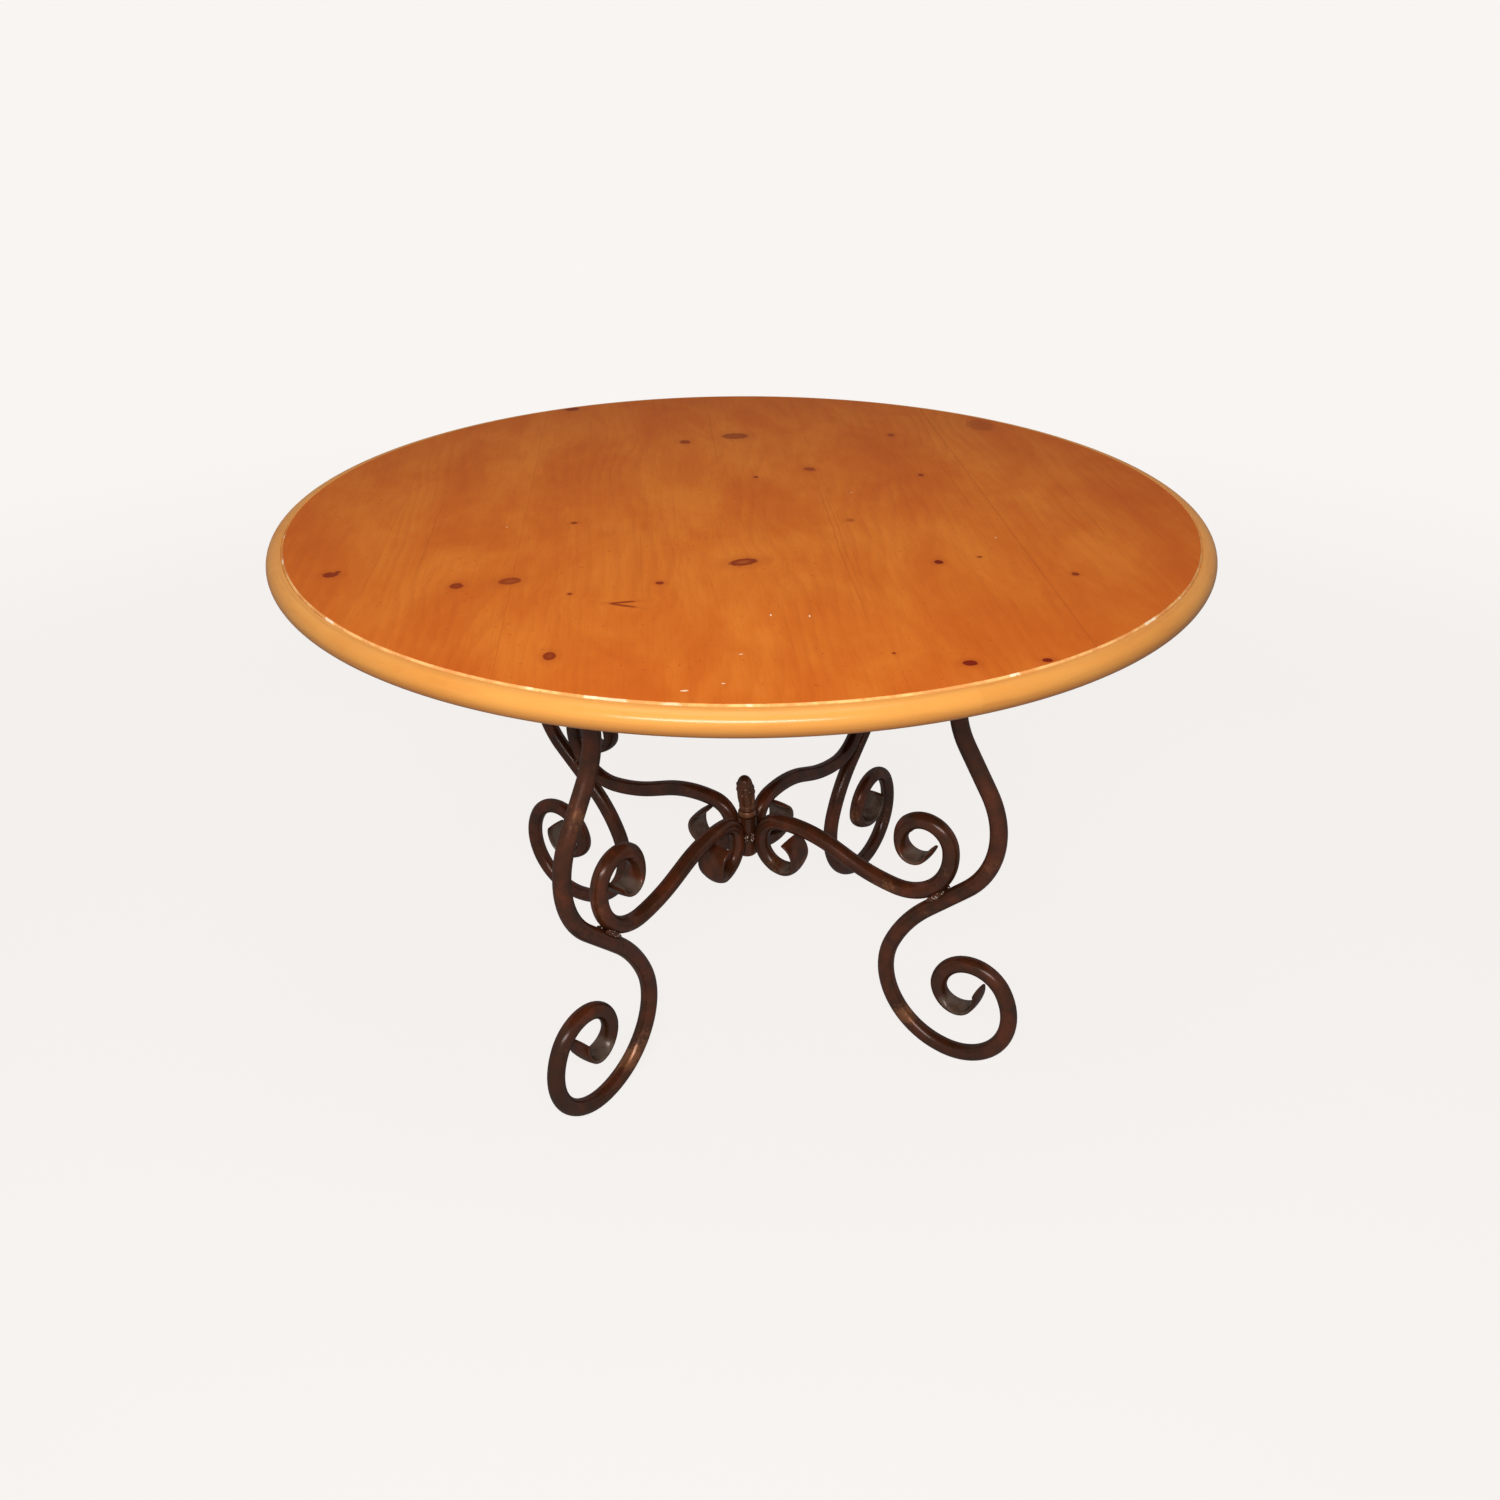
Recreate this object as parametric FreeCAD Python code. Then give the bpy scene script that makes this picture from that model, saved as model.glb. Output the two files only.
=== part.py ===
import FreeCAD, Part
import math
import os
from FreeCAD import Vector

os.makedirs("parts", exist_ok=True)

# Overall sizes, millimetres: a 48 inch round top, a little over 30 inches high
table_height = 774.0
top_diameter = 1220.0

# Knotty pine panel, glued up from boards, with a groove round its edge
panel_thickness = 25.0
panel_bevel = 2.0
panel_proud = 1.5
grain_angle = 129.0
board_seam_share = (-0.77, -0.49, -0.16, 0.20, 0.56, 0.80)

# Half-round edge moulding, sawn in segments, with a tongue for the panel's groove
rim_width = 20.0
rim_thickness = 30.0
rim_quirk = 1.2
rim_segments = 8
rim_joint_angle = 12.0
tongue_depth = 8.0
tongue_thickness = 7.0
glue_gap = 0.1

# Battens screwed across the boards, one each side of the middle
batten_rows = (-1, 1)
batten_width = 60.0
batten_thickness = 20.0
batten_inset = 30.0
batten_bevel = 14.0
batten_screw_margin = 10.0

# Flat iron ring that joins the legs and is screwed to the battens
ring_width = 34.0
ring_thickness = 6.0
ring_screw_spread = 16.0
ring_slant_angle = 30.0

# Countersunk wood screws
screw_shank = 5.0
screw_head = 9.5
screw_head_height = 3.2
screw_slot = 1.3
screw_point = 4.0
screw_bite = 15.0
screw_clearance = 0.1

# Round iron bar and its flattened, flared ends
bar_diameter = 24.0
bar_gap = 0.15
foot_wear = 0.4
tail_width = 38.0
tail_thickness = 7.5
tail_steps = 9
tail_flare_share = 0.75
tail_flat_share = 0.78

# Leg, outward from the lowest point of its foot scroll
foot_reach = 358.0
sole_radius = 89.0
sole_angle = 121.0
curl_radius = 53.5
curl_angle = 138.0
eye_radius = 31.0
eye_angle = 153.0
lip_radius = 36.0
lip_angle = 50.0

# Leg, inward and up from the same point to the ring
heel_radius = 110.0
heel_angle = 112.0
instep_radius = 226.0
instep_angle = 24.4
waist_run = 78.0
knee_radius = 128.0
knee_angle = 78.2
thigh_run = 69.0
shoulder_radius = 120.0
shoulder_angle = 41.8
top_run = 127.5

# Stretcher, upward and out from where it stands against the post
hub_level = 255.5
hub_run = 6.0
crest_radius = 37.0
crest_angle = 83.0
brow_radius = 195.0
brow_angle = 28.0
slope_run = 28.0
saddle_radius = 270.0
saddle_angle = 17.0
rise_radius = 77.0
rise_angle = 103.0
scroll_radius = 39.5
scroll_angle = 125.0
inner_radius = 35.0
inner_angle = 60.0
beak_radius = 24.0
beak_angle = 150.0

# Stretcher, down and out from the post in a small cup-shaped curl
drop_radius = 37.0
drop_angle = 60.0
drop_flare_angle = 45.0
cup_radius = 28.0
cup_angle = 145.0
cup_width = 46.0

# Hub: post, collar, neck and the bud on top
post_bottom = 223.5
post_top = 290.0
post_radius = 15.0
post_edge = 2.0
tenon_radius = 5.0
tenon_socket = 20.0
tenon_clearance = 0.1
collar_height = 11.0
collar_radius = 14.2
collar_waist = 11.0
neck_height = 10.0
neck_radius = 12.3
neck_edge = 0.8
bud_height = 47.0
bud_base_radius = 12.0
bud_radius = 13.8
bud_dome = 19.0
bud_tip_radius = 9.0

# Weld beads
weld_radius = 4.2
weld_end_radius = 2.0
weld_spread_share = 0.72
waist_weld_length = 34.0
hub_weld_length = 15.0
ring_weld_size = 5.0

# Long enough for a cut to run right through
overrun = 60.0

# Levels and reaches that follow from the sizes above
axis = Vector(0, 0, 1)
origin = Vector(0, 0, 0)
bar_radius = bar_diameter / 2
panel_radius = top_diameter / 2 - rim_width
panel_bottom = table_height - panel_thickness
batten_bottom = panel_bottom - batten_thickness
ring_bottom = batten_bottom - ring_thickness
foot_level = bar_radius - foot_wear
hub_reach = post_radius + bar_gap + bar_radius
panel_angle = grain_angle - 90
places = ("front_right", "back_right", "back_left", "front_left")


def direction(angle):
    turn = math.radians(angle)
    return Vector(math.cos(turn), 0, math.sin(turn))


def along(point, heading, size, turn):
    # The end of a straight run of this size, or of an arc of this radius that turns by so much
    if turn == 0:
        return point + direction(heading) * size
    side = math.copysign(90, turn)
    centre = point + direction(heading + side) * size
    return centre + direction(heading + turn - side) * size


def walk(point, heading, moves):
    # Edges of a chain of tangent moves in the plane of a leg, x outward and z up
    edges = []
    for size, turn in moves:
        end = along(point, heading, size, turn)
        if turn == 0:
            edges.append(Part.makeLine(point, end))
        else:
            middle = along(point, heading, size, turn / 2)
            edges.append(Part.Arc(point, middle, end).toShape())
        point = end
        heading = heading + turn
    return edges, point, heading


def fitted(moves, scale):
    return [(size * scale, turn) for size, turn in moves]


def arc_length(radius, turn):
    return radius * math.radians(abs(turn))


def station(point, heading, arcs, distance):
    # Place and heading at a distance along a chain of arcs
    for radius, turn in arcs:
        length = arc_length(radius, turn)
        share = min(1, distance / length)
        if share > 0:
            point = along(point, heading, radius, turn * share)
        heading = heading + turn * share
        distance = max(0, distance - length)
        if share < 1:
            break
    return point, heading


def oval(point, heading, width, thickness, flatness):
    # Four tangent arcs: a circle at first, a crowned ribbon with rounded edges as it gets flatter
    half_width = width / 2
    half_thickness = thickness / 2
    corner = math.pi / 4 * (1 + flatness)
    spread = (half_width - half_thickness) / (math.sin(corner) + math.cos(corner) - 1)
    end_radius = half_width - spread * math.cos(corner)
    corner_x = half_width - end_radius + end_radius * math.cos(corner)
    corner_y = end_radius * math.sin(corner)
    up = direction(heading + 90)
    side = Vector(0, 1, 0)

    def spot(x, y):
        return point + side * x + up * y

    corners = (spot(corner_x, corner_y), spot(-corner_x, corner_y),
               spot(-corner_x, -corner_y), spot(corner_x, -corner_y))
    middles = (spot(0, half_thickness), spot(-half_width, 0),
               spot(0, -half_thickness), spot(half_width, 0))
    edges = []
    for index, middle in enumerate(middles):
        following = corners[(index + 1) % len(corners)]
        edges.append(Part.Arc(corners[index], middle, following).toShape())
    return Part.Wire(edges)


def round_bar(point, heading, moves):
    # Round bar bent along a chain of moves
    edges, _, _ = walk(point, heading, moves)
    profile = Part.Wire(Part.makeCircle(bar_radius, point, direction(heading)))
    return Part.Wire(edges).makePipeShell([profile], True, False)


def flared_tail(point, heading, arcs, lip_width):
    # The bar's end, hammered out into a wide thin lip that goes on round the curl
    length = sum(arc_length(radius, turn) for radius, turn in arcs)
    sections = []
    for step in range(tail_steps + 1):
        share = step / tail_steps
        spot, facing = station(point, heading, arcs, share * length)
        spread = min(1, share / tail_flare_share)
        flare = spread * spread * (3 - 2 * spread)
        width = bar_diameter + (lip_width - bar_diameter) * flare
        thickness = bar_diameter + (tail_thickness - bar_diameter) * flare
        sections.append(oval(spot, facing, width, thickness, tail_flat_share * flare))
    return Part.makeLoft(sections, True, False)


def joined(first, *others):
    return first.multiFuse(list(others)).removeSplitter().Solids[0]


def turned(shape, angle):
    copy = shape.copy()
    copy.rotate(origin, axis, angle)
    return copy


def slab(low, high):
    # A block wider than the table, between two heights
    side = top_diameter + overrun
    return Part.makeBox(side, side, high - low, Vector(-side / 2, -side / 2, low))


def spun(edges, angle=360):
    return Part.Face(Part.Wire(edges)).revolve(origin, axis, angle)


def polygon(points):
    # Straight edges through a run of (radius, height) points
    corners = [Vector(radius, 0, height) for radius, height in points]
    return [Part.makeLine(a, b) for a, b in zip(corners, corners[1:])]


def arc(start, middle, end):
    spots = [Vector(radius, 0, height) for radius, height in (start, middle, end)]
    return Part.Arc(*spots).toShape()


def export(name, shape):
    shape.exportStep("parts/" + name + ".step")
    print(name, len(shape.Solids), "solids", round(shape.Volume / 1000, 1), "cm3", shape.isValid())


def export_turned(stem, shape):
    # The same piece at each of the four legs
    for index, place in enumerate(places):
        export(stem + "_" + place, turned(shape, index * 360 / len(places)))


# Leg: laid out from the foot up, its upper part fitted to the height of the ring
foot = Vector(foot_reach, 0, foot_level)
scroll_arcs = [(sole_radius, sole_angle), (curl_radius, curl_angle)]
scroll_arcs_back = [(radius, -turn) for radius, turn in reversed(scroll_arcs)]
lower_arcs = [(heel_radius, -heel_angle), (instep_radius, -instep_angle)]
upper_moves = [(waist_run, 0), (knee_radius, knee_angle), (thigh_run, 0),
               (shoulder_radius, -shoulder_angle), (top_run, 0)]
_, waist_start, waist_heading = walk(foot, 180, lower_arcs)
_, unfitted_top, top_heading = walk(waist_start, waist_heading, upper_moves)
leg_fit = (ring_bottom - waist_start.z) / (unfitted_top.z - waist_start.z)
upper_moves = fitted(upper_moves, leg_fit)
ring_radius = walk(waist_start, waist_heading, upper_moves)[1].x


def make_leg():
    _, eye, eye_heading = walk(foot, 0, scroll_arcs)
    moves = scroll_arcs_back + lower_arcs + upper_moves + [(overrun, 0)]
    bar = round_bar(eye, eye_heading + 180, moves)
    curl = [(eye_radius, eye_angle), (lip_radius, lip_angle)]
    tail = flared_tail(eye, eye_heading, curl, tail_width)
    return joined(bar, tail).common(slab(0, ring_bottom)).Solids[0]


# Stretcher: the sweep from crest to rise is fitted to the room between the hub and the leg's waist
hub = Vector(hub_reach, 0, hub_level)
crest_moves = [(hub_run, 0), (crest_radius, -crest_angle)]
sweep_moves = [(brow_radius, -brow_angle), (slope_run, 0), (saddle_radius, saddle_angle)]
_, crest_end, crest_heading = walk(hub, 90, crest_moves)
_, unfitted_end, rise_heading = walk(crest_end, crest_heading, sweep_moves)
rise_centre = crest_end + direction(rise_heading + 90) * rise_radius
waist_normal = direction(waist_heading + 90)
waist_distance = rise_radius + bar_diameter + bar_gap
short_by = waist_distance - (rise_centre - waist_start).dot(waist_normal)
sweep_fit = short_by / (unfitted_end - crest_end).dot(waist_normal)
sweep_moves = fitted(sweep_moves, sweep_fit)
rise_centre = rise_centre + (unfitted_end - crest_end) * sweep_fit
waist_contact = rise_centre - waist_normal * (waist_distance - bar_radius)
print("leg fit", round(leg_fit, 4), "sweep fit", round(sweep_fit, 4), "ring radius", round(ring_radius, 1))


def make_stretcher():
    drop = [(drop_radius, drop_angle)]
    cup = [(drop_radius, drop_flare_angle), (cup_radius, cup_angle)]
    scroll_moves = [(rise_radius, rise_angle), (scroll_radius, scroll_angle)]
    beak = [(inner_radius, inner_angle), (beak_radius, beak_angle)]
    _, cup_start, cup_heading = walk(hub, -90, drop)
    moves = [(drop_radius, -drop_angle)] + crest_moves + sweep_moves + scroll_moves
    bar = round_bar(cup_start, cup_heading + 180, moves)
    _, beak_start, beak_heading = walk(cup_start, cup_heading + 180, moves)
    return joined(bar, flared_tail(cup_start, cup_heading, cup, cup_width),
                  flared_tail(beak_start, beak_heading, beak, tail_width))


def bead(centre, run, length):
    # A weld run: a blunt-ended spindle, trimmed afterwards to the bars it joins
    half = run * (length / 2)
    across = Vector(0, 1, 0)
    first = centre - half
    last = centre + half
    first_brink = first + across * weld_end_radius
    last_brink = last + across * weld_end_radius
    bow = Part.Arc(first_brink, centre + across * weld_radius, last_brink).toShape()
    outline = [Part.makeLine(first, first_brink), bow, Part.makeLine(last_brink, last),
               Part.makeLine(last, first)]
    return Part.Face(Part.Wire(outline)).revolve(centre, run, 360)


def beads(centre, run, length, *bars):
    # One run of weld on each side of the plane of the leg
    runs = []
    for side in (-1, 1):
        aside = Vector(0, side * bar_radius * weld_spread_share, 0)
        runs.append(bead(centre + aside, run, length).cut(Part.makeCompound(list(bars))).Solids[0])
    return runs


def four_of(solids):
    return [turned(solid, index * 360 / len(places)) for index in range(len(places)) for solid in solids]


# Hub
tenon_top = post_top + collar_height + neck_height + tenon_socket
hub_bore = tenon_radius + tenon_clearance


def make_post():
    outline = polygon([(0, post_bottom), (post_radius - post_edge, post_bottom),
                       (post_radius, post_bottom + post_edge), (post_radius, post_top),
                       (tenon_radius, post_top), (tenon_radius, tenon_top), (0, tenon_top),
                       (0, post_bottom)])
    return spun(outline)


def make_collar():
    low = post_top
    high = post_top + collar_height
    swell = arc((collar_waist, low), (collar_radius, (low + high) / 2), (collar_waist, high))
    return spun([swell] + polygon([(collar_waist, high), (hub_bore, high), (hub_bore, low),
                                   (collar_waist, low)]))


def make_neck():
    low = post_top + collar_height
    high = low + neck_height
    eased = neck_radius - neck_edge
    return spun(polygon([(hub_bore, low), (eased, low), (neck_radius, low + neck_edge),
                         (neck_radius, high - neck_edge), (eased, high), (hub_bore, high),
                         (hub_bore, low)]))


def make_bud():
    # A tapered body under a dome of two tangent arcs, a flatter one at the side and a tighter tip
    low = post_top + collar_height + neck_height
    shoulder = low + bud_height - bud_dome
    high = low + bud_height
    roof = low + tenon_socket + tenon_clearance
    rise = bud_dome - bud_tip_radius
    side_radius = (bud_radius ** 2 + rise ** 2 - bud_tip_radius ** 2) / (2 * (bud_radius - bud_tip_radius))
    lean = math.atan2(rise, side_radius - bud_radius)

    def around(centre_x, centre_z, radius, angle):
        return (centre_x + radius * math.cos(angle), centre_z + radius * math.sin(angle))

    def on_side(angle):
        return around(bud_radius - side_radius, shoulder, side_radius, angle)

    def on_tip(angle):
        return around(0, high - bud_tip_radius, bud_tip_radius, angle)

    side = arc((bud_radius, shoulder), on_side(lean / 2), on_side(lean))
    tip = arc(on_side(lean), on_tip((lean + math.pi / 2) / 2), (0, high))
    return spun([side, tip] + polygon([(0, high), (0, roof), (hub_bore, roof), (hub_bore, low),
                                       (bud_base_radius, low), (bud_radius, shoulder)]))


# Round top, built with its boards along Y and then turned to the grain's direction
seams = [share * panel_radius for share in board_seam_share]
board_edges = [-panel_radius] + seams + [panel_radius]
tongue_level = table_height - panel_thickness / 2
batten_offset = ring_radius * math.sin(math.radians(ring_slant_angle))


def batten_half(offset):
    return math.sqrt((panel_radius - batten_inset) ** 2 - (abs(offset) + batten_width / 2) ** 2)


def batten_screw_places(offset):
    # One screw in the middle of the stretch where each board crosses the batten
    limit = batten_half(offset) - batten_bevel - batten_screw_margin
    spots = []
    for left, right in zip(board_edges, board_edges[1:]):
        low = max(left, -limit)
        high = min(right, limit)
        if high - low > 2 * batten_screw_margin:
            spots.append(Vector((low + high) / 2, offset, batten_bottom))
    return spots


def ring_screw_places():
    # A pair wherever the ring crosses a batten, either side of the batten's middle line
    spots = []
    for row in batten_rows:
        for step in (-1, 1):
            y = row * batten_offset + step * ring_screw_spread
            reach = math.sqrt(ring_radius ** 2 - y ** 2)
            spots = spots + [Vector(side * reach, y, ring_bottom) for side in (-1, 1)]
    return spots


def screw(spot, grip):
    # Slotted countersunk screw, pointing up, that clamps a thickness and bites into what is above
    head = screw_head / 2
    shank = screw_shank / 2
    top = grip + screw_bite
    body = spun(polygon([(0, 0), (head, 0), (shank, screw_head_height), (shank, top - screw_point),
                         (0, top), (0, 0)]))
    slot = Part.makeBox(screw_head, screw_slot, screw_slot, Vector(-head, -screw_slot / 2, 0))
    body = body.cut(slot)
    body.translate(spot)
    return body


def countersunk(plate, spots, depth):
    # Clearance holes whose mouths are coned for the screw heads
    for spot in spots:
        mouth = Part.makeCone(screw_head / 2 + screw_clearance, screw_shank / 2 + screw_clearance,
                              screw_head_height, spot)
        plate = plate.cut(hole(spot, depth)).cut(mouth)
    return plate


def hole(spot, depth):
    return Part.makeCylinder(screw_shank / 2 + screw_clearance, depth, spot)


batten_screw_spots = [spot for row in batten_rows for spot in batten_screw_places(row * batten_offset)]
ring_screw_spots = ring_screw_places()
pilot_depth = batten_thickness + screw_bite + screw_clearance
pilots = [hole(spot, pilot_depth) for spot in batten_screw_spots]


def make_panel():
    groove = tongue_thickness / 2 + glue_gap
    floor = panel_radius - tongue_depth - glue_gap
    return spun(polygon([(0, table_height), (0, panel_bottom), (panel_radius, panel_bottom),
                         (panel_radius, tongue_level - groove), (floor, tongue_level - groove),
                         (floor, tongue_level + groove), (panel_radius, tongue_level + groove),
                         (panel_radius, table_height - panel_bevel),
                         (panel_radius - panel_bevel, table_height), (0, table_height)]))


def make_board(panel, left, right):
    length = top_diameter + overrun
    strip = Part.makeBox(right - left, length, panel_thickness + overrun,
                         Vector(left, -length / 2, panel_bottom - overrun / 2))
    board = panel.common(strip)
    for pilot in pilots:
        if pilot.BoundBox.intersect(board.BoundBox):
            board = board.cut(pilot)
    return board.Solids[0]


def make_batten(offset):
    half = batten_half(offset)
    low = batten_bottom
    bevelled = half - batten_bevel
    outline = polygon([(-half, panel_bottom), (-half, low + batten_bevel / 2), (-bevelled, low),
                       (bevelled, low), (half, low + batten_bevel / 2), (half, panel_bottom),
                       (-half, panel_bottom)])
    batten = Part.Face(Part.Wire(outline)).extrude(Vector(0, batten_width, 0))
    batten.translate(Vector(0, offset - batten_width / 2, 0))
    batten = countersunk(batten, batten_screw_places(offset), batten_thickness)
    for spot in ring_screw_spots:
        batten = batten.cut(hole(spot, ring_thickness + screw_bite + screw_clearance))
    return batten.Solids[0]


def make_ring():
    inner = ring_radius - ring_width / 2
    outer = ring_radius + ring_width / 2
    ring = spun(polygon([(inner, ring_bottom), (outer, ring_bottom), (outer, batten_bottom),
                         (inner, batten_bottom), (inner, ring_bottom)]))
    return countersunk(ring, ring_screw_spots, ring_thickness)


def make_rim_segment():
    inner = panel_radius + glue_gap
    half = rim_thickness / 2
    top = table_height - panel_proud
    bottom = top - rim_thickness
    bend = top_diameter / 2 - half
    tongue = tongue_thickness / 2
    tip = panel_radius - tongue_depth
    outline = polygon([(bend, top), (inner + rim_quirk, top), (inner, top - rim_quirk),
                       (inner, tongue_level + tongue), (tip, tongue_level + tongue),
                       (tip, tongue_level - tongue), (inner, tongue_level - tongue),
                       (inner, bottom), (bend, bottom)])
    nosing = arc((bend, bottom), (top_diameter / 2, top - half), (bend, top))
    return spun(outline + [nosing], 360 / rim_segments)


def make_ring_weld(leg):
    # Fillet of weld round the leg's top, under the ring
    wide = bar_radius + ring_weld_size
    base = Vector(ring_radius, 0, ring_bottom - ring_weld_size)
    return Part.makeCone(bar_radius, wide, ring_weld_size, base).cut(leg).Solids[0]


panel = make_panel()
for index, (left, right) in enumerate(zip(board_edges, board_edges[1:])):
    export("top_board_" + str(index + 1), turned(make_board(panel, left, right), panel_angle))
segment = make_rim_segment()
for index in range(rim_segments):
    angle = rim_joint_angle + index * 360 / rim_segments
    export("rim_segment_" + str(index + 1), turned(segment, angle))
for index, row in enumerate(batten_rows):
    export("batten_" + str(index + 1), turned(make_batten(row * batten_offset), panel_angle))
batten_screws = [screw(spot, batten_thickness) for spot in batten_screw_spots]
export("batten_screws", turned(Part.makeCompound(batten_screws), panel_angle))
export("mounting_ring", turned(make_ring(), panel_angle))
ring_screws = [screw(spot, ring_thickness) for spot in ring_screw_spots]
export("ring_screws", turned(Part.makeCompound(ring_screws), panel_angle))

leg = make_leg()
stretcher = make_stretcher()
post = make_post()
export_turned("leg", leg)
export_turned("stretcher", stretcher)
export("hub_post", post)
export("hub_collar", make_collar())
export("hub_neck", make_neck())
export("hub_bud", make_bud())
waist_welds = beads(waist_contact, direction(waist_heading), waist_weld_length, leg, stretcher)
hub_contact = Vector(post_radius + bar_gap / 2, 0, hub_level + hub_run / 2)
hub_welds = beads(hub_contact, axis, hub_weld_length, post, stretcher)
welds = waist_welds + hub_welds + [make_ring_weld(leg)]
export("welds", Part.makeCompound(four_of(welds)))
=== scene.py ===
import math
import bpy
from mathutils import Matrix, Quaternion, Vector


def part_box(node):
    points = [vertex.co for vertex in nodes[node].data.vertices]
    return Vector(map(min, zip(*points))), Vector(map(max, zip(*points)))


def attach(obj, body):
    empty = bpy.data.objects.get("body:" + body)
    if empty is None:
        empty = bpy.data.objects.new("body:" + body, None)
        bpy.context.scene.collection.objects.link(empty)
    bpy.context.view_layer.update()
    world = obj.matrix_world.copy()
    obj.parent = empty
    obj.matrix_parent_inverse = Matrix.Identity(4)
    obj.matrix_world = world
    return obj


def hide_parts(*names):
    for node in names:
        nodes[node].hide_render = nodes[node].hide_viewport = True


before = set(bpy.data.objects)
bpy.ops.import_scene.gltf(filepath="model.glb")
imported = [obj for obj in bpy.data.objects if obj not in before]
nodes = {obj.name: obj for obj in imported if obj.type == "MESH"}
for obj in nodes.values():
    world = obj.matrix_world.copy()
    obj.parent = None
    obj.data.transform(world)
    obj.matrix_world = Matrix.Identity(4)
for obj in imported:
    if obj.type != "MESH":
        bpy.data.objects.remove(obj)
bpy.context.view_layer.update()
print("frame loaded:", len(nodes), "nodes")


def pickNothing():
    if bpy.context.mode != "OBJECT":
        bpy.ops.object.mode_set(mode="OBJECT")
    bpy.ops.object.select_all(action="DESELECT")


def workOn(piece):
    pickNothing()
    piece.select_set(True)
    bpy.context.view_layer.objects.active = piece


def editPiece(piece, mode):
    workOn(piece)
    bpy.ops.object.mode_set(mode="EDIT")
    bpy.ops.mesh.select_mode(type=mode)
    bpy.ops.mesh.select_all(action="DESELECT")


def pickFaces(piece, test):
    bpy.ops.object.mode_set(mode="OBJECT")
    for face in piece.data.polygons:
        face.select = test(face)
    bpy.ops.object.mode_set(mode="EDIT")


def useModifier(piece, kind, **settings):
    workOn(piece)
    change = piece.modifiers.new("shape", kind)
    for name, value in settings.items():
        setattr(change, name, value)
    bpy.ops.object.modifier_apply(modifier=change.name)


def finishPiece(piece, material, replaced):
    workOn(piece)
    bpy.ops.object.transform_apply(location=True, rotation=True, scale=True)
    bpy.ops.object.shade_smooth()
    if material:
        piece.data.materials.clear()
        piece.data.materials.append(material)
    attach(piece, "root")
    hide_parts(*replaced)


# a turned piece: a disc raised ring by ring, as (radius, height) pairs in metres
def turnPiece(name, rings, sides):
    pickNothing()
    firstRadius, firstHeight = rings[0]
    bpy.ops.mesh.primitive_circle_add(vertices=sides, radius=firstRadius, fill_type="NGON",
                                      location=(0, 0, firstHeight))
    piece = bpy.context.object
    piece.name = name
    editPiece(piece, "FACE")
    bpy.ops.mesh.select_all(action="SELECT")
    for (oldRadius, oldHeight), (radius, height) in zip(rings, rings[1:]):
        step = {"value": (0, 0, height - oldHeight)}
        bpy.ops.mesh.extrude_region_move(TRANSFORM_OT_translate=step)
        share = radius / oldRadius
        bpy.ops.transform.resize(value=(share, share, 1), center_override=(0, 0, height))
    bpy.ops.mesh.select_all(action="SELECT")
    bpy.ops.mesh.normals_make_consistent(inside=False)
    bpy.ops.object.mode_set(mode="OBJECT")
    bpy.ops.object.transform_apply(location=True, rotation=True, scale=True)
    return piece


def srgb(red, green, blue):
    def linear(level):
        level = level / 255
        return level / 12.92 if level <= 0.04045 else ((level + 0.055) / 1.055) ** 2.4
    return (linear(red), linear(green), linear(blue), 1)


def addNode(tree, kind, inputs=None, **settings):
    node = tree.nodes.new(kind)
    for name, value in settings.items():
        setattr(node, name, value)
    for key, value in (inputs or {}).items():
        if isinstance(value, bpy.types.NodeSocket):
            tree.links.new(value, node.inputs[key])
        else:
            node.inputs[key].default_value = value
    return node


def useGroup(tree, group, inputs):
    return addNode(tree, "ShaderNodeGroup", inputs, node_tree=group).outputs


def objectPlace(tree):
    return addNode(tree, "ShaderNodeTexCoord").outputs["Object"]


def split(tree, vector):
    return addNode(tree, "ShaderNodeSeparateXYZ", {0: vector}).outputs


def added(tree, first, second):
    return addNode(tree, "ShaderNodeVectorMath", {0: first, 1: second}, operation="ADD").outputs[0]


def sums(tree, operation, *values):
    return addNode(tree, "ShaderNodeMath", dict(enumerate(values)), operation=operation).outputs[0]


def diagonal(tree, first, second):
    squares = sums(tree, "ADD", sums(tree, "POWER", first, 2.0), sums(tree, "POWER", second, 2.0))
    return sums(tree, "SQRT", squares)


def mixed(tree, factor, first, second):
    node = addNode(tree, "ShaderNodeMix", {0: factor, 6: first, 7: second}, data_type="RGBA")
    return node.outputs[2]


def spread(tree, value, low, high, newLow=0.0, newHigh=1.0):
    inputs = {"Value": value, "From Min": low, "From Max": high, "To Min": newLow, "To Max": newHigh}
    return addNode(tree, "ShaderNodeMapRange", inputs, interpolation_type="SMOOTHSTEP").outputs[0]


def stretched(tree, vector, scale, turn=0.0):
    inputs = {"Vector": vector, "Scale": scale, "Rotation": (0, 0, math.radians(turn))}
    return addNode(tree, "ShaderNodeMapping", inputs).outputs[0]


def noise(tree, vector, scale, detail=3.0, roughness=0.5, distortion=0.0):
    inputs = {"Vector": vector, "Scale": scale, "Detail": detail, "Roughness": roughness,
              "Distortion": distortion}
    return addNode(tree, "ShaderNodeTexNoise", inputs).outputs[0]


# inputs as name and start value, outputs as names of plain numbers
def newGroup(name, inputs, outputs):
    group = bpy.data.node_groups.new(name, "ShaderNodeTree")
    for socketName, start in inputs.items():
        kind = "NodeSocketVector" if isinstance(start, tuple) else "NodeSocketFloat"
        socket = group.interface.new_socket(socketName, in_out="INPUT", socket_type=kind)
        socket.default_value = start
    for socketName in outputs:
        group.interface.new_socket(socketName, in_out="OUTPUT", socket_type="NodeSocketFloat")
    return group, group.nodes.new("NodeGroupInput").outputs, group.nodes.new("NodeGroupOutput").inputs


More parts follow.
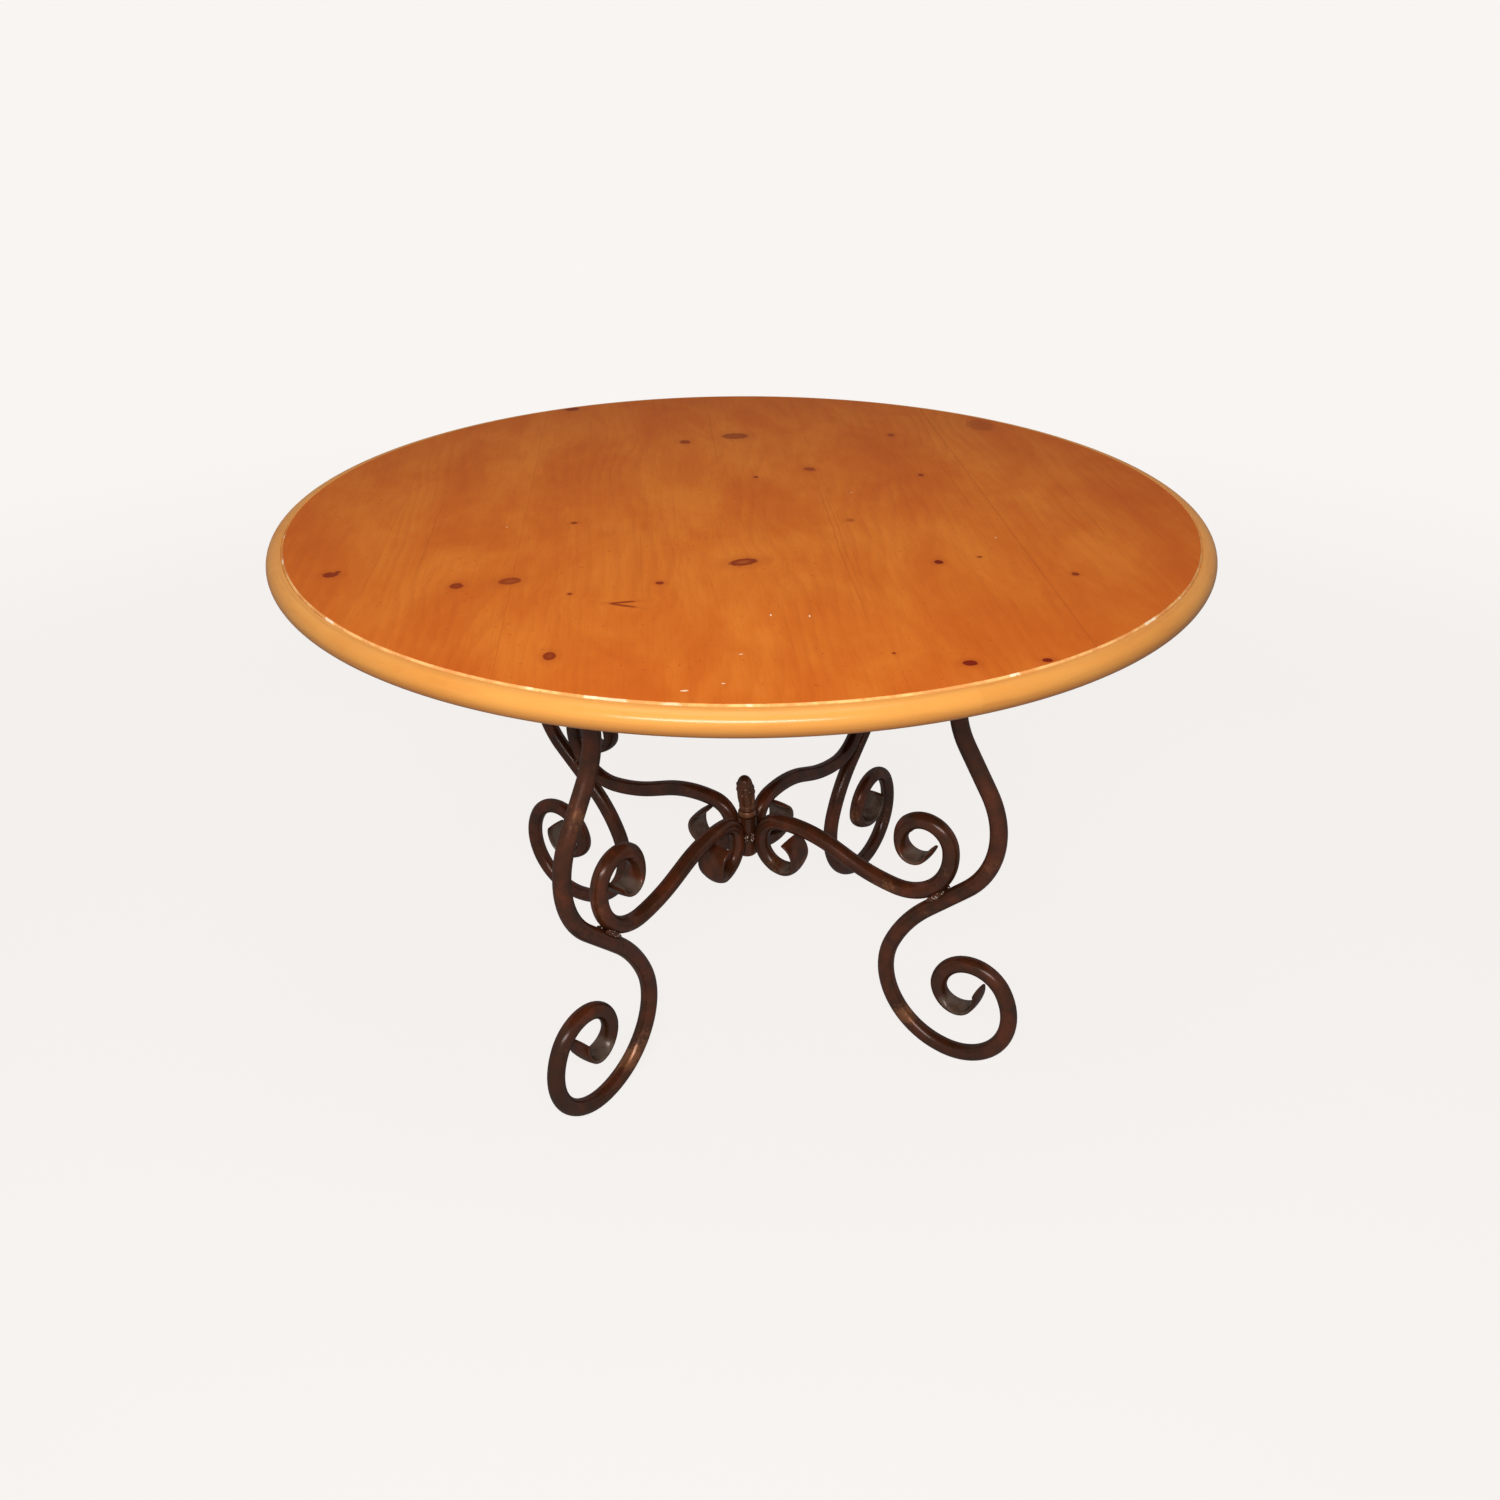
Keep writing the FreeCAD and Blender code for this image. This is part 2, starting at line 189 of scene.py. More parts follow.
def newMaterial(name, **levels):
    material = bpy.data.materials.new(name)
    material.use_nodes = True
    shader = material.node_tree.nodes["Principled BSDF"]
    for key, value in levels.items():
        shader.inputs[key.replace("_", " ")].default_value = value
    return material, material.node_tree, shader


def bumped(tree, shader, height, distance, strength=1.0):
    node = addNode(tree, "ShaderNodeBump", {"Height": height, "Distance": distance, "Strength": strength})
    tree.links.new(node.outputs[0], shader.inputs["Normal"])


# marks per metre across, along and through a board
grainMarks = {"slow": (4.0, 1.1, 4.0), "quick": (26, 7, 26), "shown": (11, 3, 11), "wander": (2, 9, 2),
              "streaks": (330, 14, 330), "cloud": (11, 4.2, 11), "pores": (1500, 60, 1500)}


def grainNoise(tree, vector, marks, *look):
    return noise(tree, stretched(tree, vector, grainMarks[marks]), 1.0, *look)


# growth lines and pores of pine: X across the grain, Y along it, in metres
woodGrain, put, take = newGroup(
    "woodGrain", {"Vector": (0, 0, 0), "Lines": 70.0, "Waver": 1.6}, ["Lines", "Streaks", "Cloud", "Pores"])
tree = woodGrain
slow = grainNoise(tree, put["Vector"], "slow", 2.5, 0.45)
quick = grainNoise(tree, put["Vector"], "quick", 2.0)
parts = split(tree, put["Vector"])
waver = sums(tree, "MULTIPLY", slow, sums(tree, "MULTIPLY", put["Waver"], 6.0))
phase = sums(tree, "MULTIPLY_ADD", parts["X"], put["Lines"], waver)
saw = sums(tree, "FRACT", sums(tree, "MULTIPLY_ADD", quick, 0.8, phase))
rise = spread(tree, saw, 0.0, 0.80)
fall = spread(tree, saw, 0.84, 1.0, 1.0, 0.0)
shown = spread(tree, grainNoise(tree, put["Vector"], "shown", 2.0), 0.35, 0.65, 0.15, 1.0)
lines = sums(tree, "MULTIPLY", sums(tree, "POWER", rise, 1.8), fall)
tree.links.new(sums(tree, "MULTIPLY", lines, shown), take["Lines"])
tree.links.new(grainNoise(tree, put["Vector"], "streaks", 4.0, 0.62), take["Streaks"])
tree.links.new(grainNoise(tree, put["Vector"], "cloud", 4.0, 0.6, 0.4), take["Cloud"])
tree.links.new(spread(tree, grainNoise(tree, put["Vector"], "pores", 2.0), 0.60, 0.74), take["Pores"])

# edges as shares of the knot's own half width and half length, then how close its rings lie
knotShape = {"core": (0.78, 1.08), "ringed": (0.35, 0.62), "halo": (0.9, 2.6), "rings": 11.0}

# one knot: adds its core, its rings, its halo and the bend of the grain to those before it
pineKnot, put, take = newGroup(
    "pineKnot",
    {"Vector": (0, 0, 0), "Centre": (0, 0, 0), "Ragged": 0.0, "Half Width": 0.01, "Half Length": 0.01,
     "Turn": 0.0, "Depth": 1.0, "Ringed": 0.0, "Rough": 0.3, "Core Before": 0.0, "Ring Before": 0.0,
     "Halo Before": 0.0, "Pull Before": 0.0},
    ["Core", "Ring", "Halo", "Pull"])
tree = pineKnot
away = {0: put["Vector"], 1: put["Centre"]}
gap = addNode(tree, "ShaderNodeVectorMath", away, operation="SUBTRACT").outputs[0]
turning = {"Vector": gap, "Angle": put["Turn"]}
turned = addNode(tree, "ShaderNodeVectorRotate", turning, rotation_type="Z_AXIS").outputs[0]
parts = split(tree, turned)
sideways = sums(tree, "DIVIDE", parts["X"], put["Half Width"])
lengthways = sums(tree, "DIVIDE", parts["Y"], put["Half Length"])
reach = diagonal(tree, sideways, lengthways)
uneven = sums(tree, "MULTIPLY_ADD", put["Ragged"], put["Rough"], reach)
core = sums(tree, "MULTIPLY", spread(tree, uneven, *knotShape["core"], 1.0, 0.0), put["Depth"])
tree.links.new(sums(tree, "MAXIMUM", core, put["Core Before"]), take["Core"])
wave = sums(tree, "SINE", sums(tree, "MULTIPLY", uneven, knotShape["rings"]))
turns = sums(tree, "MULTIPLY_ADD", wave, 0.5, 0.5)
light = sums(tree, "MULTIPLY", spread(tree, uneven, *knotShape["ringed"], 1.0, 0.0), put["Ringed"])
ring = sums(tree, "MULTIPLY", light, sums(tree, "MULTIPLY_ADD", turns, 0.35, 0.65))
tree.links.new(sums(tree, "MAXIMUM", ring, put["Ring Before"]), take["Ring"])
halo = sums(tree, "MULTIPLY", spread(tree, uneven, *knotShape["halo"], 1.0, 0.0), put["Depth"])
tree.links.new(sums(tree, "MAXIMUM", halo, put["Halo Before"]), take["Halo"])
easing = sums(tree, "MULTIPLY_ADD", sums(tree, "POWER", reach, 2.0), 0.6, 0.5)
pull = sums(tree, "DIVIDE", parts["X"], easing)
tree.links.new(sums(tree, "ADD", pull, put["Pull Before"]), take["Pull"])

# marks per metre
ironMarks = {"patches": 19.0, "streaks": 60.0, "wide": 11.0, "fine": 210.0, "pits": 520.0, "lumps": 55.0,
             "grit": 300.0, "drops": 330.0}

# patches, rub-through and pits of forged and waxed iron
forgedSkin, put, take = newGroup(
    "forgedSkin", {"Vector": (0, 0, 0), "Scale": 1.0}, ["Patches", "Streaks", "Rub", "Pits", "Height"])
tree = forgedSkin
scaling = {0: put["Vector"], 3: put["Scale"]}
scaled = addNode(tree, "ShaderNodeVectorMath", scaling, operation="SCALE").outputs[0]
patches = noise(tree, scaled, ironMarks["patches"], 3.0, 0.5, 0.4)
tree.links.new(spread(tree, patches, 0.34, 0.70), take["Patches"])
streaks = noise(tree, scaled, ironMarks["streaks"], 4.0, 0.6)
tree.links.new(spread(tree, streaks, 0.34, 0.74), take["Streaks"])
wide = noise(tree, scaled, ironMarks["wide"], 3.0, 0.5)
fine = noise(tree, scaled, ironMarks["fine"], 3.0, 0.6)
tree.links.new(spread(tree, sums(tree, "MULTIPLY_ADD", fine, 0.25, wide), 0.70, 0.92), take["Rub"])
pits = noise(tree, scaled, ironMarks["pits"], 2.0, 0.5)
tree.links.new(spread(tree, pits, 0.62, 0.74), take["Pits"])
lumps = noise(tree, scaled, ironMarks["lumps"], 2.0, 0.5)
grit = noise(tree, scaled, ironMarks["grit"], 3.0, 0.5)
pitted = sums(tree, "MULTIPLY_ADD", pits, -0.05, lumps)
tree.links.new(sums(tree, "MULTIPLY_ADD", grit, 0.05, pitted), take["Height"])
print("shared effects made")


pineTop = {
    "turn": 39,  # degrees from +X to the direction across the boards
    "radius": 0.590, "level": 0.774, "knotPull": 0.55, "knotMargin": 0.03,
    "boardTones": (0.03, 0.0, 0.02, 0.01, 0.03, 0.0, 0.03), "boardShift": (1.37, 2.11),
    "seamShares": (-0.77, -0.49, -0.16, 0.20, 0.56, 0.80),
    "seamDepths": (0.15, 0.25, 0.12, 0.2, 0.55, 0.2), "seamHalf": (0.0002, 0.0011),
    "crackHalf": (0.0003, 0.0012), "crackWander": 0.012, "crackFade": 0.05, "chipRough": 1.2,
    "bevelOut": (0.5876, 0.5884), "bevelUp": (0.765, 0.770), "edgeOut": (0.40, 0.70),
    "light": srgb(226, 132, 44), "middle": srgb(215, 117, 34), "deep": srgb(198, 98, 27),
    "line": srgb(160, 70, 18), "knot": srgb(120, 28, 3), "knotHeart": srgb(168, 80, 28),
    "halo": srgb(170, 74, 20), "wornAndHighlit": srgb(240, 186, 116), "chip": srgb(250, 226, 190),
    "pit": srgb(84, 34, 12), "edgeDarker": srgb(186, 80, 20), "redStain": srgb(193, 78, 19),
}
# how far each mark covers the colour under it
pineCover = {"line": 0.16, "streak": 0.14, "pale": 0.12, "edge": 0.3, "pore": 0.10, "halo": 0.32,
             "seam": 0.8, "chip": 0.85, "speck": 0.45}
# knots: across, along, width, length in mm; turn in degrees; then how dark, how ringed, how ragged
knots = [
    (-501, -212, 18, 19, 30, 0.85, 0, 0.9), (-494, -204, 9, 8, 0, 0.8, 0, 0.9),
    (-351, -259, 16, 19, 15, 0.8, 0.2, 0.5), (-291, -249, 28, 22, 20, 0.7, 0.6, 0.4),
    (-225, -51, 10, 10, 0, 0.75, 0, 0.4), (-221, -294, 6, 7, 0, 0.8, 0, 0.3),
    (-162, -324, 32, 5, 8, 0.8, 0, 0.4), (-161, -333, 34, 5, -24, 0.75, 0, 0.4),
    (-119, -269, 11, 11, 0, 0.85, 0, 0.4), (-69, 313, 18, 22, 10, 0.7, 0, 0.6),
    (10, 340, 44, 34, 0, 0.65, 0.4, 0.5), (-18, -210, 39, 23, 20, 0.85, 0.9, 0.35),
    (25, 126, 7, 9, 0, 0.85, 0, 0.3), (106, 158, 17, 20, 30, 0.6, 0, 0.8),
    (132, -69, 12, 14, 0, 0.4, 0, 0.6), (254, 327, 12, 17, 0, 0.6, 0, 0.5),
    (261, 117, 9, 14, 0, 0.7, 0, 0.5), (216, -229, 12, 14, 0, 1, 0, 0.3),
    (269, -216, 7, 6, 0, 0.8, 0, 0.4), (369, -281, 10, 12, 0, 0.8, 0, 0.6),
    (-235, -461, 14, 22, 0, 0.85, 0.35, 0.3), (117, -484, 4, 5, 0, 0.9, 0, 0.3),
    (190, -514, 17, 14, 0, 1, 0, 0.25), (270, -514, 12, 10, 0, 1, 0, 0.4),
    (-250, 525, 26, 26, 0, 0.8, 0, 0.5), (-524, 332, 14, 16, 0, 0.5, 0, 0.5),
    (407, 374, 46, 70, 0, 0.3, 0, 0.9),
]
# chips in the varnish: across, along, width, length in mm; turn in degrees
chips = [(0, -374, 2, 6, 0), (42, -380, 2, 5, 0), (-40, -473, 5, 2, 20), (-101, -553, 8, 3, 0),
         (-62, -540, 4, 2, 0), (-310, -60, 2, 4, 20), (305, -150, 2, 3, 0), (150, 45, 3, 2, 0)]
# hair cracks along the grain: across, from, to in mm; then how dark
cracks = [(105, 83, -424, 0.35), (112, 60, -300, 0.25), (-140, -90, -330, 0.2), (-402, 60, -240, 0.3),
          (301, 210, -60, 0.3), (-24, 520, 190, 0.3), (446, 120, -180, 0.35)]


def knotPlace(x, y, width, length, turn):
    return {"Centre": (x / 1000, y / 1000, pineTop["level"]), "Half Width": width / 2000,
            "Half Length": length / 2000, "Turn": math.radians(-turn)}


# each board has a finish of its own, with the knots, chips and cracks that lie on it
def makePineBoard(number, low, high):
    def onBoard(marks, margin):
        return [mark for mark in marks if low - margin < mark[0] / 1000 < high + margin]

    material, tree, shader = newMaterial(
        "pineBoard%d" % number, Specular_IOR_Level=0.0, Coat_Weight=0.08, Coat_Roughness=0.22)
    place = objectPlace(tree)
    flat = stretched(tree, place, (1, 1, 1), -pineTop["turn"])
    across, along, up = split(tree, flat)
    ragged = sums(tree, "SUBTRACT", noise(tree, flat, 160.0, 2.0), 0.5)
    tangle = {"Core": 0.0, "Ring": 0.0, "Halo": 0.0, "Pull": 0.0}
    for *where, depth, ringed, rough in onBoard(knots, pineTop["knotMargin"]):
        before = {part + " Before": tangle[part] for part in ("Core", "Ring", "Halo", "Pull")}
        tangle = useGroup(tree, pineKnot, {
            "Vector": flat, "Ragged": ragged, **knotPlace(*where),
            "Depth": depth, "Ringed": ringed, "Rough": rough, **before})
    chipped = 0.0
    for chip in onBoard(chips, 0.0):
        chipped = useGroup(tree, pineKnot, {
            "Vector": flat, "Ragged": ragged, **knotPlace(*chip),
            "Rough": pineTop["chipRough"], "Core Before": chipped})["Core"]
    cracked = 0.0
    wander = sums(tree, "SUBTRACT", grainNoise(tree, flat, "wander", 3.0), 0.5)
    fade = pineTop["crackFade"]
    for x, start, end, depth in onBoard(cracks, 0.0):
        beside = sums(tree, "SUBTRACT", across, x / 1000)
        gap = sums(tree, "ABSOLUTE", sums(tree, "MULTIPLY_ADD", wander, pineTop["crackWander"], beside))
        inside = sums(tree, "MULTIPLY", spread(tree, along, end / 1000, end / 1000 + fade),
                      spread(tree, along, start / 1000 - fade, start / 1000, 1.0, 0.0))
        line = sums(tree, "MULTIPLY", inside, spread(tree, gap, *pineTop["crackHalf"], depth, 0.0))
        cracked = sums(tree, "MAXIMUM", cracked, line)
    seam = 0.0
    for share, depth in zip(pineTop["seamShares"], pineTop["seamDepths"]):
        if low - 0.001 < share * pineTop["radius"] < high + 0.001:
            gap = sums(tree, "ABSOLUTE", sums(tree, "SUBTRACT", across, share * pineTop["radius"]))
            seam = sums(tree, "MAXIMUM", seam, spread(tree, gap, *pineTop["seamHalf"], depth, 0.0))

    # the grain parts round a knot, and each board has its own piece of the pattern
    aside = sums(tree, "SUBTRACT", across, sums(tree, "MULTIPLY", tangle["Pull"], pineTop["knotPull"]))
    bent = addNode(tree, "ShaderNodeCombineXYZ", {"X": aside, "Y": along, "Z": 0.0}).outputs[0]
    shiftAcross, shiftAlong = pineTop["boardShift"]
    moved = added(tree, bent, (number * shiftAcross, number * shiftAlong, 0.0))
    grain = useGroup(tree, woodGrain, {"Vector": moved, "Lines": 44.0, "Waver": 2.2})
    cloud = grainNoise(tree, flat, "cloud", 4.0, 0.6, 0.4)
    tone = sums(tree, "MULTIPLY_ADD", cloud, 0.95, pineTop["boardTones"][number - 1])
    colour = mixed(tree, spread(tree, tone, 0.30, 0.60), pineTop["light"], pineTop["middle"])
    colour = mixed(tree, spread(tree, tone, 0.50, 0.84), colour, pineTop["deep"])
    colour = mixed(tree, sums(tree, "MULTIPLY", grain["Lines"], pineCover["line"]), colour, pineTop["line"])
    dark = spread(tree, grain["Streaks"], 0.46, 0.70, 0.0, pineCover["streak"])
    colour = mixed(tree, dark, colour, pineTop["line"])
    pale = spread(tree, grain["Streaks"], 0.50, 0.30, 0.0, pineCover["pale"])
    colour = mixed(tree, pale, colour, pineTop["light"])

    # the colour darkens slightly towards the edge, the same all round
    outFrom = diagonal(tree, across, along)
    colour = mixed(tree, spread(tree, cloud, 0.35, 0.65, 0.24, 0.36), colour, pineTop["redStain"])
    cloudyOut = sums(tree, "MULTIPLY_ADD", cloud, 0.12, outFrom)
    edge = spread(tree, cloudyOut, *pineTop["edgeOut"], 0.0, pineCover["edge"])
    colour = mixed(tree, edge, colour, pineTop["edgeDarker"])

    # marks that show through the stain, and the bevel worn to bare wood and lightened further as a painted
    # highlight
    colour = mixed(tree, cracked, colour, pineTop["line"])
    for cover, kind, paint in ((grain["Pores"], "pore", "pit"), (tangle["Halo"], "halo", "halo"),
                               (seam, "seam", "line")):
        colour = mixed(tree, sums(tree, "MULTIPLY", cover, pineCover[kind]), colour, pineTop[paint])
    colour = mixed(tree, tangle["Core"], colour, pineTop["knot"])
    colour = mixed(tree, tangle["Ring"], colour, pineTop["knotHeart"])
    colour = mixed(tree, sums(tree, "MULTIPLY", chipped, pineCover["chip"]), colour, pineTop["chip"])
    patchy = spread(tree, noise(tree, place, 30.0, 5.0, 0.65), 0.40, 0.60, 0.5, 1.0)
    bevelWearAndHighlight = sums(tree, "MULTIPLY", spread(tree, outFrom, *pineTop["bevelOut"]), patchy)
    bevelWearAndHighlight = sums(tree, "MULTIPLY", bevelWearAndHighlight, spread(tree, up, *pineTop["bevelUp"]))
    colour = mixed(tree, bevelWearAndHighlight, colour, pineTop["wornAndHighlit"])
    flecks = sums(tree, "MULTIPLY", bevelWearAndHighlight, spread(tree, noise(tree, place, 23.0, 2.0), 0.62, 0.66))
    colour = mixed(tree, flecks, colour, pineTop["chip"])
    specks = spread(tree, noise(tree, place, 150.0, 1.0), 0.70, 0.76, 0.0, pineCover["speck"])
    colour = mixed(tree, specks, colour, pineTop["line"])
    tree.links.new(colour, shader.inputs["Base Color"])
    gloss = spread(tree, noise(tree, place, 7.0, 4.0), 0.35, 0.7, 0.34, 0.50)
    tree.links.new(gloss, shader.inputs["Roughness"])
    sunk = sums(tree, "MAXIMUM", seam, sums(tree, "MULTIPLY", tangle["Core"], 0.4))
    height = sums(tree, "SUBTRACT", sums(tree, "MULTIPLY", grain["Streaks"], 0.5), sunk)
    bumped(tree, shader, height, 0.00022, 0.6)
    return material


edges = [share * pineTop["radius"] for share in (-1.1, *pineTop["seamShares"], 1.1)]
pineBoards = [makePineBoard(number, low, high) for number, (low, high) in enumerate(zip(edges, edges[1:]), 1)]

pineRim = {
    "radius": 0.6, "joints": 8, "firstJoint": 12,  # degrees from +X
    "stained": 0.2, "shaded": (0.764, 0.746), "shade": 0.55,
    "light": srgb(234, 166, 80), "middle": srgb(224, 148, 62), "deep": srgb(172, 96, 38),
    "line": srgb(184, 104, 38), "redStain": srgb(176, 86, 28),
}
pineRimMaterial, tree, shader = newMaterial(
    "pineRim", Roughness=0.4, Specular_IOR_Level=0.0, Coat_Weight=0.17, Coat_IOR=2.0, Coat_Roughness=0.2)
parts = split(tree, objectPlace(tree))
angle = sums(tree, "ARCTAN2", parts["Y"], parts["X"])
outward = diagonal(tree, parts["X"], parts["Y"])
fromJoint = sums(tree, "SUBTRACT", angle, math.radians(pineRim["firstJoint"]))
segment = sums(tree, "FLOOR", sums(tree, "MULTIPLY", fromJoint, pineRim["joints"] / math.tau))
segmentLook = addNode(tree, "ShaderNodeTexWhiteNoise", {"W": segment}, noise_dimensions="1D").outputs
wrapping = {"X": sums(tree, "ADD", outward, parts["Z"]),
            "Y": sums(tree, "MULTIPLY", angle, pineRim["radius"]), "Z": 0.0}
wrapped = addNode(tree, "ShaderNodeCombineXYZ", wrapping).outputs[0]
moved = added(tree, wrapped, segmentLook["Color"])
grain = useGroup(tree, woodGrain, {"Vector": moved, "Lines": 150.0, "Waver": 0.9})
tone = sums(tree, "MULTIPLY_ADD", segmentLook["Value"], 0.25, sums(tree, "MULTIPLY", grain["Cloud"], 0.9))
colour = mixed(tree, spread(tree, tone, 0.35, 0.8), pineRim["light"], pineRim["middle"])
colour = mixed(tree, pineRim["stained"], colour, pineRim["redStain"])
# painted shade: the rim's colour darkens towards its underside
under = spread(tree, parts["Z"], *pineRim["shaded"], 0.0, pineRim["shade"])
colour = mixed(tree, under, colour, pineRim["deep"])
colour = mixed(tree, sums(tree, "MULTIPLY", grain["Lines"], 0.16), colour, pineRim["line"])
colour = mixed(tree, spread(tree, grain["Streaks"], 0.48, 0.72, 0.0, 0.2), colour, pineRim["line"])
tree.links.new(colour, shader.inputs["Base Color"])
bumped(tree, shader, grain["Streaks"], 0.00015, 0.4)

battenWood = {"light": srgb(205, 150, 96), "deep": srgb(160, 104, 58), "line": srgb(122, 74, 38)}
battenMaterial, tree, shader = newMaterial("battenWood", Roughness=0.6, Specular_IOR_Level=0.3)
flat = stretched(tree, objectPlace(tree), (1, 1, 1), 90 - pineTop["turn"])
grain = useGroup(tree, woodGrain, {"Vector": flat, "Lines": 90.0, "Waver": 1.4})
colour = mixed(tree, spread(tree, grain["Cloud"], 0.3, 0.7), battenWood["light"], battenWood["deep"])
colour = mixed(tree, sums(tree, "MULTIPLY", grain["Lines"], 0.4), colour, battenWood["line"])
colour = mixed(tree, spread(tree, grain["Streaks"], 0.45, 0.7, 0.0, 0.35), colour, battenWood["line"])
tree.links.new(colour, shader.inputs["Base Color"])
bumped(tree, shader, grain["Streaks"], 0.0003)

bronzedIron = {
    "brown": srgb(68, 36, 21), "red": srgb(98, 48, 27), "green": srgb(46, 32, 19),
    "copper": srgb(130, 84, 54), "scrapedAndSheen": srgb(106, 90, 78), "spatter": srgb(190, 176, 164),
    # the hollow side of each flattened end, lightened as scraped iron and as a painted sheen: its curl's
    # centre outward and up, its radius, and which way it opens
    "hollows": [((0.3663, 0.1232), 0.0300, (0.6, -0.8)), ((0.2855, 0.3428), 0.0225, (0.7, -0.7)),
                ((0.0665, 0.2468), 0.0262, (1.0, 0.0))],
    "hollowEdge": 0.0015, "hollowFacing": (-0.004, 0.008),
}


# rub is how far copper shows where the finish is worn, and bright how far it shows elsewhere
def makeIron(name, scale, rub, bright, spatter, hollows=()):
    material, tree, shader = newMaterial(
        name, Specular_IOR_Level=0.0, Specular_Tint=(0.3, 0.25, 0.22, 1), Coat_Weight=0.11, Coat_IOR=2.0,
        Coat_Roughness=0.22)
    place = objectPlace(tree)
    skin = useGroup(tree, forgedSkin, {"Vector": place, "Scale": scale})
    colour = mixed(tree, skin["Patches"], bronzedIron["brown"], bronzedIron["red"])
    colour = mixed(tree, sums(tree, "MULTIPLY", skin["Streaks"], 0.6), colour, bronzedIron["green"])
    colour = mixed(tree, spread(tree, skin["Rub"], 0.0, 1.0, bright, rub), colour, bronzedIron["copper"])
    x, y, up = split(tree, place)
    outward = sums(tree, "MAXIMUM", sums(tree, "ABSOLUTE", x), sums(tree, "ABSOLUTE", y))
    scrapedAndSheen = 0.0
    for (centreOut, centreUp), radius, (openOut, openUp) in hollows:
        aside = sums(tree, "SUBTRACT", outward, centreOut)
        above = sums(tree, "SUBTRACT", up, centreUp)
        far = diagonal(tree, aside, above)
        facing = sums(tree, "MULTIPLY_ADD", aside, openOut, sums(tree, "MULTIPLY", above, openUp))
        within = spread(tree, far, radius, radius + bronzedIron["hollowEdge"], 1.0, 0.0)
        hollow = sums(tree, "MULTIPLY", within, spread(tree, facing, *bronzedIron["hollowFacing"]))
        scrapedAndSheen = sums(tree, "MAXIMUM", scrapedAndSheen, hollow)
    grey = spread(tree, skin["Streaks"], 0.0, 1.0, 0.85, 0.45)
    # the hollow faces are lightened, partly scraped iron and partly a painted sheen
    colour = mixed(tree, sums(tree, "MULTIPLY", scrapedAndSheen, grey), colour, bronzedIron["scrapedAndSheen"])
    colour = mixed(tree, sums(tree, "MULTIPLY", skin["Pits"], 0.35), colour, bronzedIron["green"])
    drops = spread(tree, noise(tree, place, ironMarks["drops"], 1.0), 0.60, 0.64, 0.0, spatter)
    colour = mixed(tree, drops, colour, bronzedIron["spatter"])
    tree.links.new(colour, shader.inputs["Base Color"])
    tree.links.new(spread(tree, skin["Rub"], 0.0, 1.0, 0.1, 0.45), shader.inputs["Metallic"])
    tree.links.new(sums(tree, "MULTIPLY_ADD", skin["Streaks"], 0.16, 0.28), shader.inputs["Roughness"])
    bumped(tree, shader, skin["Height"], 0.0006, 0.7)
    return material


ironMaterial = makeIron("bronzedIron", scale=1.0, rub=0.7, bright=0.0, spatter=0.0,
                        hollows=bronzedIron["hollows"])
# the hub's turned pieces: a copy of the iron, more rubbed and painted lighter as a lit copy
hubRubbedLitIron = makeIron("rubbedLitIron", scale=2.5, rub=0.9, bright=0.15, spatter=0.0)
# the collar's and neck's bands: worn copper, lightened also as a painted highlight
collarWearAndHighlight = makeIron("wornHighlitCollar", scale=3.0, rub=0.9, bright=0.6, spatter=0.0)
# the bud's nub tips: rubbed copper, lightened also as painted highlights
tipWearAndHighlight = makeIron("copperTipsHighlit", scale=4.0, rub=1.0, bright=0.9, spatter=0.7)
weldMaterial = makeIron("weldedIron", scale=2.0, rub=0.8, bright=0.1, spatter=1.0)

screwSteel = {"bright": srgb(176, 170, 158), "dark": srgb(96, 86, 74)}
steelMaterial, tree, shader = newMaterial("screwSteel", Roughness=0.35, Metallic=1.0)
skin = useGroup(tree, forgedSkin, {"Vector": objectPlace(tree), "Scale": 4.0})
colour = mixed(tree, skin["Patches"], screwSteel["bright"], screwSteel["dark"])
tree.links.new(colour, shader.inputs["Base Color"])
tree.links.new(sums(tree, "MULTIPLY_ADD", skin["Streaks"], 0.25, 0.28), shader.inputs["Roughness"])
bumped(tree, shader, skin["Height"], 0.0002, 0.5)
print("materials made")


# the first entry that a node's name starts with gives its finish
finishes = [("top_board_%d" % number, board) for number, board in enumerate(pineBoards, 1)]
finishes += [("rim_segment", pineRimMaterial), ("batten_screws", steelMaterial),
             ("ring_screws", steelMaterial), ("batten_", battenMaterial), ("mounting_ring", ironMaterial),
             ("leg_", ironMaterial), ("stretcher_", ironMaterial), ("hub_", ironMaterial),
             ("welds", weldMaterial)]
for name, node in nodes.items():
    finish = next(material for start, material in finishes if name.startswith(start))
    for slot in node.material_slots:
        slot.material = finish
print("nodes finished")


# each turned piece: its node, how far it leans in degrees, its worn band, lightened also as a painted
# highlight, as shares of its height, then its outline as (radius in metres, share of the height) pairs
hubTurning = {
    "collarBead": ("hub_collar", 0, (0.08, 0.92), [
        (0.0112, 0.0), (0.0124, 0.03), (0.0138, 0.16), (0.0143, 0.34), (0.0143, 0.55),
        (0.0137, 0.74), (0.0124, 0.88), (0.0116, 1.0)]),
    "neckRings": ("hub_neck", 0, (0.40, 0.76), [
        (0.0116, 0.0), (0.0121, 0.10), (0.0121, 0.20), (0.0109, 0.30), (0.0109, 0.38), (0.0122, 0.46),
        (0.0127, 0.58), (0.0122, 0.70), (0.0102, 0.79), (0.0096, 0.92), (0.0104, 1.0)]),
    "budOrnament": ("hub_bud", 5.5, (0.0, 0.0), [
        (0.0118, 0.0), (0.0125, 0.03), (0.0131, 0.12), (0.0135, 0.23), (0.0135, 0.35), (0.0132, 0.46),
        (0.0128, 0.57), (0.0122, 0.68), (0.0113, 0.78), (0.0098, 0.87), (0.0072, 0.94), (0.0030, 1.0)]),
}
